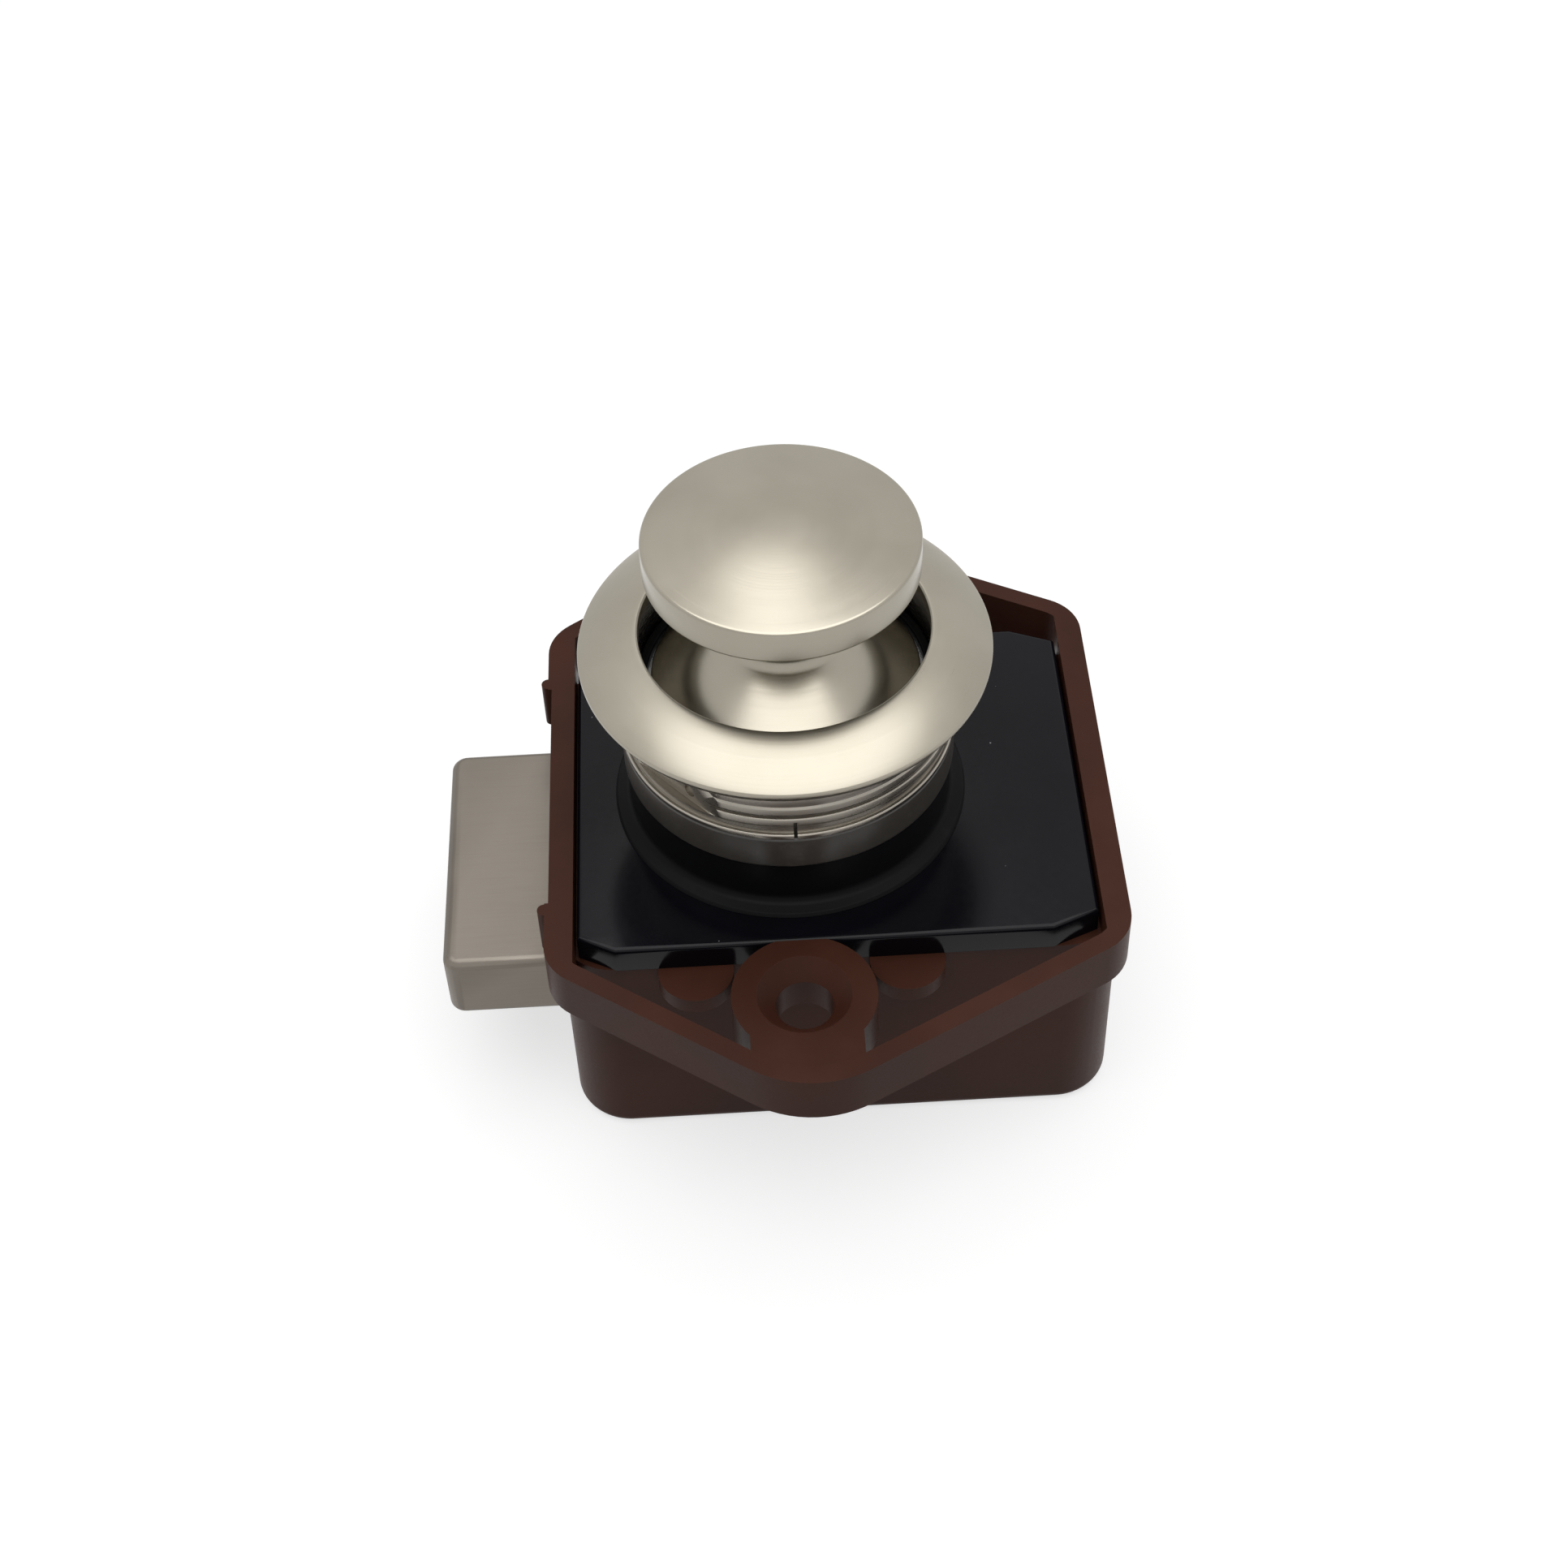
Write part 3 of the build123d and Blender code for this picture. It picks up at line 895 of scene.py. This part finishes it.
@dataclass
class Knob:
    """Spool-shaped knob: domed disc, waist and steep conical foot."""

    disc_radius: float = 10.3
    disc_bottom: float = 23.4
    disc_rim: float = 26.2
    dome: float = 0.8
    edge: float = 0.3
    waist_radius: float = 4.0
    foot_radius: float = 10.3
    foot_bottom: float = 10.55
    foot_top: float = 12.55
    cone_top: float = 17.0
    flare_round: float = 1.6
    neck_round: float = 1.3
    bore_radius: float = 2.05
    bore_top: float = 16.55
    shoulder_rise: float = 0.03
    dome_shares: tuple[float, ...] = (0.93, 0.86, 0.78, 0.7, 0.61, 0.52, 0.43, 0.34, 0.25, 0.17, 0.1, 0.05)

    def outline(self) -> Turning:
        """Outline from the bore round the foot, the waist and the disc to the middle of the dome.

        Returns:
            The outline of the whole knob.
        """
        rim = Corner(self.disc_radius, self.disc_rim, self.edge)
        middle = Corner(0, self.disc_rim + self.dome)
        shoulder = Corner(self.disc_radius - self.edge, self.disc_rim + self.shoulder_rise)
        return Turning((
            Corner(0, self.bore_top),
            Corner(self.bore_radius, self.bore_top),
            Corner(self.bore_radius, self.foot_bottom, 0.15),
            Corner(self.foot_radius, self.foot_bottom, 0.2),
            Corner(self.foot_radius, self.foot_top, 0.3),
            Corner(self.waist_radius, self.cone_top, self.flare_round),
            Corner(self.waist_radius, self.disc_bottom, self.neck_round),
            Corner(self.disc_radius, self.disc_bottom, self.edge),
            rim,
            *self.crown(shoulder, middle),
            middle,
        ), arc_steps=7)

    def crown(self, shoulder: Corner, middle: Corner) -> tuple[Corner, ...]:
        """Corners of the dome.

        Args:
            shoulder: Outer end of the dome.
            middle: Top of the dome on the axis.

        Returns:
            The corners between the two, from the shoulder inwards.
        """
        sphere = (shoulder.radius**2 + self.dome**2) / (2 * self.dome)
        corners = []
        for share in self.dome_shares:
            radius = shoulder.radius * share
            height = math.sqrt(sphere**2 - radius**2) - sphere
            corners.append(Corner(radius, middle.level + height))
        return tuple(corners)

    def build(self, shop: Workshop) -> None:
        """Turn the knob and dress it.

        Args:
            shop: Workshop with the frame and the finishes.
        """
        piece = self.outline().spin("knob_turned")
        smooth(piece)
        shop.dress(piece, NICKEL_SATIN)
        shop.fit(piece, "knob", "knob")


@dataclass
class Rosette:
    """Crowned flange on a ribbed sleeve with two flats, a slot and a small dimple."""

    bore: float = 11.5
    bottom: float = 7.5
    sleeve: float = 13.0
    root: float = 12.55
    flange_bottom: float = 14.4
    flange_radius: float = 15.7
    edge_top: float = 15.4
    lip_radius: float = 11.0
    lip_bottom: float = 16.2
    top: float = 17.3
    crown: float = 0.31
    undercut: float = 0.4
    rim_height: float = 0.32
    bore_step: float = 0.5
    # From the lower ring past its inset wall and three ribs: offsets from the sleeve's radius and bottom
    rib_offsets: tuple[Corner, ...] = (
        Corner(-0.04, 0, 0.06), Corner(0, 0.5, 0.26), Corner(-0.33, 0.52, 0.02), Corner(-0.35, 1.2, 0.08),
        Corner(-0.55, 1.3), Corner(-0.08, 1.4, 0.06), Corner(0, 1.65, 0.1), Corner(-0.06, 2.2, 0.14),
        Corner(-0.55, 2.36), Corner(-0.08, 2.5, 0.08), Corner(0, 2.75, 0.12), Corner(-0.05, 3.3, 0.16),
        Corner(-0.22, 3.45, 0.04), Corner(-0.02, 3.62, 0.1), Corner(-0.06, 4.4, 0.26),
        Corner(-0.45, 4.7, 0.1),
    )
    slot_width: float = 0.28
    slot_top: float = 9.4
    slot_tool_depth: float = 2.4
    flat_depth: float = 0.95
    flat_angle: float = 47.5
    flat_start: float = 1.1
    flat_tool_width: float = 16.0
    flat_tool_depth: float = 4.0
    dimple_radius: float = 0.5
    dimple_tool_depth: float = 0.5
    dimple_place: tuple[float, float] = (1.7, 9.6)
    overrun: float = 1.0
    seam: float = 0.05

    def ribs(self) -> tuple[Corner, ...]:
        """Corners of the sleeve's outside.

        Returns:
            The corners from the lower ring up to the flange.
        """
        ribs = (
            Corner(self.sleeve + offset.radius, self.bottom + offset.level, offset.round)
            for offset in self.rib_offsets
        )
        return *ribs, Corner(self.root, self.flange_bottom, 0.2)

    def outline(self) -> Turning:
        """Outline of the lip, the bore, the ribs and the crowned flange.

        Returns:
            The outline of the whole rosette, without the cuts in its sleeve.
        """
        outer = Corner(self.flange_radius, self.edge_top, 0.22)
        inner = Corner(self.lip_radius, self.top, 0.2)
        return Turning((
            inner,
            Corner(self.lip_radius, self.lip_bottom, 0.1),
            Corner(self.bore, self.lip_bottom - self.bore_step, 0.05),
            Corner(self.bore, self.bottom, 0.05),
            *self.ribs(),
            Corner(self.flange_radius - self.undercut, self.flange_bottom, 0.12),
            Corner(self.flange_radius, self.edge_top - self.rim_height, 0.16),
            outer,
            *arch(outer, inner, self.crown, count=9),
        ), steps=192, arc_steps=6)

    def sleeve_cuts(self, piece: Piece) -> None:
        """Cut the flats, the slot and the dimple into the sleeve.

        Args:
            piece: The turned rosette.
        """
        turn = -math.radians(self.flat_angle)
        height = self.flange_bottom - self.bottom - self.flat_start
        level = self.bottom + self.flat_start + height / 2
        out = self.sleeve - self.flat_depth + self.flat_tool_depth / 2
        for side in (-1, 1):
            size = Vector((self.flat_tool_width, self.flat_tool_depth, height))
            cut(piece, add_box("flat_tool", Vector((0, side * out, level)), size, turn))
        slot_height = self.slot_top - self.bottom + self.overrun
        centre = Vector((0, -self.sleeve, self.slot_top - slot_height / 2))
        size = Vector((self.slot_width, self.slot_tool_depth, slot_height))
        cut(piece, add_box("slot_tool", centre, size))
        clear_selection()
        bpy.ops.mesh.primitive_cylinder_add(
            vertices=28, radius=self.dimple_radius * MM, depth=self.dimple_tool_depth * MM,
            location=(0, 0, 0), rotation=(math.pi / 2, 0, 0),
        )
        tool = new_piece("dimple_tool")
        settle(tool)
        along, level = self.dimple_place
        place = Vector((along, self.flat_depth - self.sleeve, level))
        tool.data.transform(Matrix.Rotation(turn, 4, "Z") @ Matrix.Translation(place * MM))
        cut(piece, tool)

    def build(self, shop: Workshop) -> None:
        """Turn the rosette, cut its sleeve and dress the flange, the sleeve and its flats.

        Args:
            shop: Workshop with the frame and the finishes.
        """
        piece = self.outline().spin("rosette_turned")
        self.sleeve_cuts(piece)
        smooth(piece)
        shop.dress(piece, NICKEL_SOFT)
        sleeve_top = self.flange_bottom - self.seam
        turn = math.radians(self.flat_angle)
        across = Vector((math.sin(turn), math.cos(turn), 0))
        shop.dress_faces(piece, NICKEL_SLEEVE, lambda centre, normal: centre.z < sleeve_top)
        shop.dress_faces(
            piece, NICKEL_FLAT,
            lambda centre, normal: centre.z < sleeve_top and abs(normal.dot(across)) > FACING,
        )
        shop.fit(piece, "case", "rosette")


@dataclass
class Collar:
    """Black turned bush on the cover, with the adjusting ring on it."""

    bore: float = 10.7
    shelf: float = 6.2
    bottom: float = -7.05
    shelf_top: float = -5.85
    skirt: float = 11.2
    cover_top: float = -0.5
    foot_radius: float = 14.0
    foot_step: float = 0.25
    foot_rim: float = 0.3
    foot_top: float = 0.2
    radius: float = 12.6
    shoulder: float = 4.3
    spigot: float = 11.45
    top: float = 12.1
    groove: float = 11.1
    groove_bottom: float = 10.55
    groove_top: float = 11.45
    ring_inner: float = 11.5
    ring_radius: float = 12.95
    ring_top: float = 7.5
    ring_edge: float = 0.28

    def bush(self) -> Turning:
        """Outline of the bush from its shelf up to its spigot.

        Returns:
            The outline.
        """
        return Turning((
            Corner(self.shelf, self.bottom, 0.15),
            Corner(self.skirt, self.bottom, 0.2),
            Corner(self.skirt, self.cover_top),
            Corner(self.foot_radius, self.cover_top, 0.05),
            Corner(self.foot_radius - self.foot_step, self.cover_top + self.foot_rim, 0.15),
            Corner(self.radius, self.foot_top, 0.9),
            Corner(self.radius, self.shoulder, 0.12),
            Corner(self.spigot, self.shoulder),
            Corner(self.spigot, self.top, 0.2),
            Corner(self.bore, self.top, 0.15),
            Corner(self.bore, self.groove_top),
            Corner(self.groove, self.groove_top),
            Corner(self.groove, self.groove_bottom),
            Corner(self.bore, self.groove_bottom),
            Corner(self.bore, self.shelf_top, 0.3),
            Corner(self.shelf, self.shelf_top, 0.15),
        ))

    def ring(self) -> Turning:
        """Outline of the adjusting ring.

        Returns:
            The outline.
        """
        return Turning((
            Corner(self.ring_inner, self.shoulder, 0.1),
            Corner(self.ring_radius, self.shoulder, self.ring_edge),
            Corner(self.ring_radius, self.ring_top, self.ring_edge),
            Corner(self.ring_inner, self.ring_top, 0.1),
        ))

    def build(self, shop: Workshop) -> None:
        """Turn the bush and the ring and dress them.

        Args:
            shop: Workshop with the frame and the finishes.
        """
        for turning, name, node, finish in (
            (self.bush(), "collar_turned", "collar", COLLAR_BLACK),
            # The ring's grey-brown finish is painted reflection on black gloss plastic
            (self.ring(), "adjusting_ring_turned", "adjusting_ring", RING_PAINTED_REFLECTION),
        ):
            piece = turning.spin(name)
            smooth(piece)
            shop.dress(piece, finish)
            shop.fit(piece, "case", node)


@dataclass
class Case:
    """Moulded case with its glossy cover."""

    case_edge: float = 0.2
    cover_edge: float = 0.07

    def build(self, shop: Workshop) -> None:
        """Round the edges of the case and the cover and dress them.

        Args:
            shop: Workshop with the frame and the finishes.
        """
        case = shop.shell("housing", "case_moulded", self.case_edge, CASE_BROWN, CASE_EDGE)
        shop.fit(case, "case", "housing")
        cover = shop.shell("cover_plate", "cover_moulded", self.cover_edge, BLACK_GLOSS, BLACK_EDGE)
        shop.fit(cover, "case", "cover_plate")


@dataclass
class Bolt:
    """Cast latch bolt with soft edges on its nose; its window stays as sharp as the plunger needs."""

    edge: float = 0.3
    nose_end: float = -19.3

    def build(self, shop: Workshop) -> None:
        """Round the edges of the bolt's nose and dress the bolt."""
        bolt = shop.shell("bolt", "bolt_cast", self.edge, BOLT_CAST, BOLT_CAST, reach=self.nose_end)
        shop.fit(bolt, "bolt", "bolt")


@dataclass(frozen=True)
class Coil:
    """Compression spring of round wire; it keeps the name of the joint that would shorten it, which nothing
    here uses.
    """

    name: str
    node: str
    joint: str
    outer_radius: float
    wire: float
    turns: int
    start: Vector
    direction: Vector
    length: float
    anchor_at_end: bool
    travel: float = 9.0
    wire_corners: int = 12
    turn_steps: int = 36

    def build(self, shop: Workshop) -> None:
        """Wind the spring, close its ends and place it.

        Args:
            shop: Workshop with the frame and the finishes.
        """
        half = self.wire / 2
        pitch = (self.length - self.wire) / self.turns
        place = Vector((self.outer_radius - half, 0, half))
        piece = wind(self.name, half, self.wire_corners, place, pitch, self.turns, self.turn_steps)
        open_mesh(piece)
        bpy.ops.mesh.remove_doubles(threshold=MERGE)
        bpy.ops.mesh.select_all(action="DESELECT")
        bpy.ops.mesh.select_mode(type="EDGE")
        bpy.ops.mesh.select_non_manifold(extend=False)
        bpy.ops.mesh.fill()
        bpy.ops.mesh.select_all(action="SELECT")
        bpy.ops.mesh.normals_make_consistent(inside=False)
        close_mesh()
        turn = Vector((0, 0, 1)).rotation_difference(self.direction).to_matrix().to_4x4()
        piece.data.transform(Matrix.Translation(self.start * MM) @ turn)
        smooth(piece)
        shop.dress(piece, SPRING_WIRE)
        shop.fit(piece, "case", self.node)
        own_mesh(piece)


@dataclass
class CoverScrew:
    """Pan head screw with a cross recess and a rolled thread, modelled once and copied."""

    places: tuple[tuple[float, float], ...] = ((-14.0, -13.8), (-14.0, 13.8), (20.2, -13.8), (20.2, 13.8))
    seat: float = -16.9
    length: float = 12.0
    radius: float = 0.98
    head_radius: float = 1.7
    head_height: float = 1.2
    head_flat_share: float = 0.6
    head_side_share: float = 0.35
    point: float = 0.6
    pitch: float = 0.5
    thread_depth: float = 0.2
    thread_inset: float = 0.7
    thread_corners: int = 3
    turn_steps: int = 20
    recess: tuple[float, float, float] = (1.9, 0.45, 1.4)

    def body(self) -> Turning:
        """Outline of the head and the core.

        Returns:
            The outline, from the middle of the head to the point.
        """
        tip = self.seat + self.length
        core = self.radius - self.thread_depth
        return Turning((
            Corner(0, self.seat - self.head_height),
            Corner(self.head_radius * self.head_flat_share, self.seat - self.head_height, 0.2),
            Corner(self.head_radius, self.seat - self.head_height * self.head_side_share, 0.4),
            Corner(self.head_radius, self.seat, 0.05),
            Corner(core, self.seat, 0.1),
            Corner(core, tip - self.point, 0.1),
            Corner(0, tip),
        ), steps=32, arc_steps=3)

    def thread(self) -> Piece:
        """Ridge wound round the core.

        Returns:
            The ridge as an object of its own.
        """
        turns = int((self.length - 2 * self.thread_inset) / self.pitch)
        place = Vector((self.radius - self.thread_depth, 0, self.seat + self.thread_inset))
        return wind(
            "thread", self.thread_depth, self.thread_corners, place, self.pitch, turns, self.turn_steps,
        )

    def build(self, shop: Workshop) -> None:
        """Model one screw, copy it to its four places and dress the copies.

        Args:
            shop: Workshop with the frame and the finishes.
        """
        screw = self.body().spin("cover_screw_1")
        for turn in (0.0, math.pi / 2):
            centre = Vector((0, 0, self.seat - self.head_height))
            cut(screw, add_box("recess_tool", centre, Vector(self.recess), turn))
        ridge = self.thread()
        take(screw)
        ridge.select_set(True)
        bpy.ops.object.join()
        smooth(screw)
        for number, (x, y) in enumerate(self.places, start=1):
            piece = bpy.data.objects.new(f"cover_screw_at_{number}", screw.data.copy())
            bpy.context.scene.collection.objects.link(piece)
            piece.data.transform(Matrix.Translation(Vector((x, y, 0)) * MM))
            shop.dress(piece, STEEL_PLATED)
            shop.fit(piece, "case", "cover_screws")
        bpy.data.objects.remove(screw)


@dataclass
class Mechanism:
    """Hidden pieces that keep their CAD shape, and the three springs."""

    plated_nodes: tuple[str, ...] = ("snap_ring", "spring_washer", "knob_stud", "cross_pin")
    plastic_node: str = "plunger"
    knob_spring: Coil = Coil(
        "knob_spring_coil", "knob_spring", "knob_press", outer_radius=7.95, wire=0.7, turns=7,
        start=Vector((0, 0, -5.45)), direction=Vector((0, 0, 1)), length=15.1, anchor_at_end=False,
    )
    bolt_spring: Coil = Coil(
        "bolt_spring_front_coil", "bolt_spring_front", "bolt_slide", outer_radius=2.2, wire=0.5, turns=14,
        start=Vector((3.6, -6.0, -10.5)), direction=Vector((1, 0, 0)), length=19.8, anchor_at_end=True,
    )

    def springs(self) -> tuple[Coil, ...]:
        """The knob's spring and the bolt's two, one the mirror of the other.

        Returns:
            The three springs.
        """
        front = self.bolt_spring
        back = replace(
            front, name="bolt_spring_back_coil", node="bolt_spring_back",
            start=Vector((front.start.x, -front.start.y, front.start.z)),
        )
        return self.knob_spring, front, back

    def build(self, shop: Workshop) -> None:
        """Dress the CAD nodes and wind the springs.

        Args:
            shop: Workshop with the frame and the finishes.
        """
        for node in self.plated_nodes:
            shop.dress_node(node, STEEL_PLATED)
        shop.dress_node(self.plastic_node, INNER_PLASTIC)
        for spring in self.springs():
            spring.build(shop)


# Studio


@dataclass(frozen=True)
class Softbox:
    """Oval soft light that faces straight down."""

    name: str
    place: Vector
    width: float
    length: float
    radiance: float

    def hang(self) -> None:
        """Add the lamp with the power that gives its radiance."""
        light = bpy.data.lights.new(self.name, "AREA")
        light.shape = "ELLIPSE"
        light.size = self.width * MM
        light.size_y = self.length * MM
        area = math.pi / 4 * light.size * light.size_y
        light.energy = self.radiance * area * math.pi
        lamp = bpy.data.objects.new(self.name, light)
        bpy.context.scene.collection.objects.link(lamp)
        lamp.location = self.place * MM


@dataclass
class Studio:
    """Pale floor, soft overhead lights, white surroundings and the camera."""

    floor_level: float = -23.33
    floor_size: float = 4000.0
    floor_colour: Colour = (0.42, 0.42, 0.42)
    floor_drift: float = 0.01
    drifts_per_mm: float = 0.02
    floor_lift: float = 0.67
    room_light: float = 0.28
    softboxes: tuple[Softbox, ...] = (
        Softbox("softbox", Vector((0, -70, 480)), 680, 660, 2.2),
        Softbox("back_softbox", Vector((-10, 340, 480)), 120, 160, 2.3),
    )
    camera_place: Vector = Vector((-2.92, -138.73, 152.01))
    azimuth: float = 1.00
    elevation: float = 47.71
    roll: float = -2.40
    lens: float = 59.14
    sensor: float = 36.0
    nearest: float = 1.0

    def floor(self) -> None:
        """Lay the floor; it lifts itself a little for the camera and in reflections."""
        clear_selection()
        bpy.ops.mesh.primitive_plane_add(size=self.floor_size * MM, location=(0, 0, self.floor_level * MM))
        piece = new_piece("studio_floor")
        settle(piece)
        wiring = Wiring(bpy.data.materials.new("floor_paper"))
        wiring.set(Roughness=0.9, Specular_IOR_Level=0.1, Emission_Color=(1, 1, 1, 1))
        paper = wiring.noise(wiring.place(), self.drifts_per_mm, detail=2)
        low = tuple(value - self.floor_drift for value in self.floor_colour)
        wiring.feed("Base Color", wiring.blend(paper, low, self.floor_colour))
        wiring.feed("Emission Strength", wiring.stretch(wiring.seen(), (0, 1), (0, self.floor_lift)))
        piece.data.materials.append(wiring.owner)

    def room(self) -> None:
        """White surroundings for the camera and reflections, dimmer for the light they give."""
        world = bpy.data.worlds.new("room")
        bpy.context.scene.world = world
        wiring = Wiring(world, "Background")
        wiring.set(Color=(1, 1, 1, 1))
        wiring.feed("Strength", wiring.stretch(wiring.seen(), (0, 1), (self.room_light, 1)))

    def camera(self) -> None:
        """Set the camera at the photograph's angle."""
        azimuth, elevation, roll = map(math.radians, (self.azimuth, self.elevation, self.roll))
        flat = math.cos(elevation)
        forward = Vector((flat * math.sin(azimuth), flat * math.cos(azimuth), -math.sin(elevation)))
        right = Vector((math.cos(azimuth), -math.sin(azimuth), 0))
        up = right.cross(forward)
        side = right * math.cos(roll) + up * math.sin(roll)
        top = up * math.cos(roll) - right * math.sin(roll)
        data = bpy.data.cameras.new("camera")
        data.lens = self.lens
        data.sensor_width = self.sensor
        data.clip_start = self.nearest * MM
        camera = bpy.data.objects.new("camera", data)
        bpy.context.scene.collection.objects.link(camera)
        turn = Matrix((side, top, -forward)).transposed().to_4x4()
        camera.matrix_world = Matrix.Translation(self.camera_place * MM) @ turn
        bpy.context.scene.camera = camera

    def build(self) -> None:
        """Set up the floor, the surroundings, the lamps and the camera."""
        bpy.context.scene.view_settings.view_transform = "Standard"
        self.camera()
        self.floor()
        self.room()
        for softbox in self.softboxes:
            softbox.hang()
        log.info("studio: camera, floor, room and %d softboxes", len(self.softboxes))


def main() -> None:
    """Load the frame, build the studio and every sub-assembly."""
    logging.basicConfig(level=logging.INFO, format="%(name)s: %(message)s")
    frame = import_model()
    shop = Workshop(frame)
    Studio().build()
    for assembly in (Case(), Bolt(), Collar(), Rosette(), Knob(), CoverScrew(), Mechanism()):
        assembly.build(shop)
        log.info("%s is in place", type(assembly).__name__)


if __name__ == "__main__":
    main()
